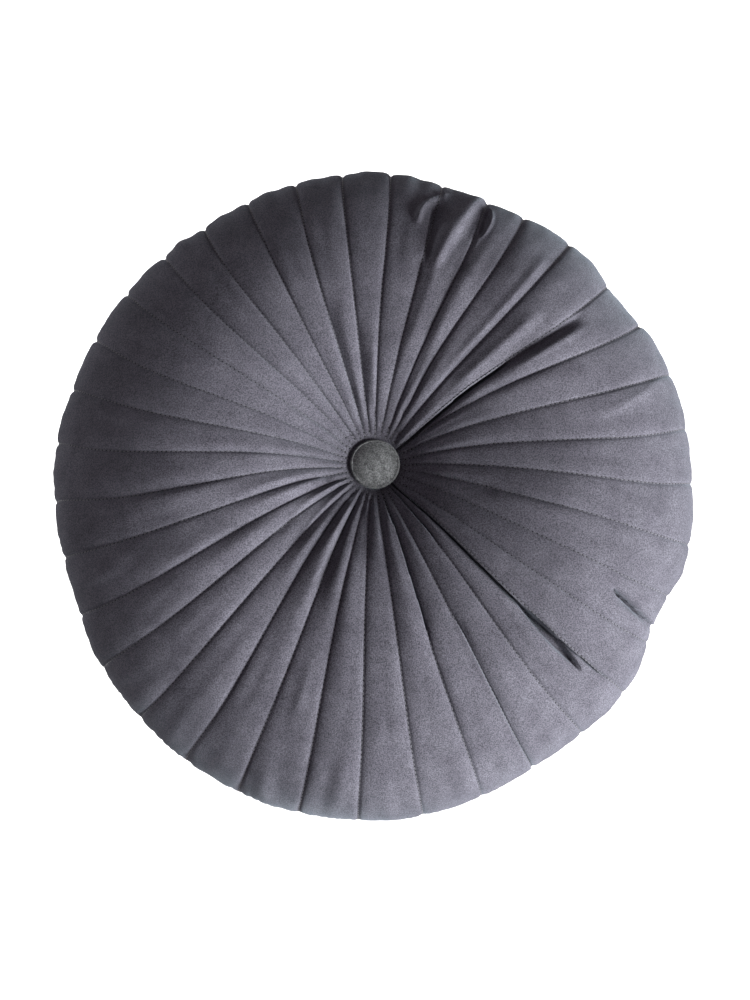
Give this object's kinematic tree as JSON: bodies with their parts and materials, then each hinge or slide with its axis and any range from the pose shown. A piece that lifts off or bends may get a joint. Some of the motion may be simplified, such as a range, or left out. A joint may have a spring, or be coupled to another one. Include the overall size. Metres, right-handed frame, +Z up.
{
  "type": "round pleated floor cushion",
  "caption": "Round velvet floor cushion with radial stitched pleats gathered under a covered button in the middle of each face.",
  "frame": {"origin": "middle of the underside, on the floor plane", "axes": "+Z up through both buttons; the cushion is round about Z"},
  "size_m": [0.5, 0.5, 0.14],
  "materials": {
    "velvet": "matte",
    "button_velvet": "matte",
    "sewing_thread": "satin",
    "strong_thread": "satin",
    "liner_cloth": "matte",
    "fibre": "matte",
    "pressed_steel": "satin",
    "wire": "satin",
    "twine": "matte"
  },
  "bodies": {
    "cushion": {"top_panel": "velvet", "bottom_panel": "velvet", "rim_seam_thread": "sewing_thread", "top_pleat_stitching": "sewing_thread", "bottom_pleat_stitching": "sewing_thread", "top_gather_thread": "strong_thread", "bottom_gather_thread": "strong_thread", "liner_top": "liner_cloth", "liner_bottom": "liner_cloth", "liner_seam_thread": "strong_thread", "fibre_fill": "fibre", "tufting_twine": "twine"},
    "top_button": {"top_button_shell": "pressed_steel", "top_button_cover": "button_velvet", "top_button_back": "pressed_steel", "top_button_shank": "wire"},
    "bottom_button": {"bottom_button_shell": "pressed_steel", "bottom_button_cover": "button_velvet", "bottom_button_back": "pressed_steel", "bottom_button_shank": "wire"}
  },
  "joints": [
    {"name": "top_button_swivel", "type": "hinge", "parent": "cushion", "child": "top_button", "pos_m": [0, 0, 0.0955], "axis": [0, 0, 1], "range_deg": [-45, 45], "stiffness_Nm_per_rad": 0.002},
    {"name": "bottom_button_swivel", "type": "hinge", "parent": "cushion", "child": "bottom_button", "pos_m": [0, 0, 0.0284], "axis": [0, 0, 1], "range_deg": [-45, 45], "stiffness_Nm_per_rad": 0.002}
  ]
}
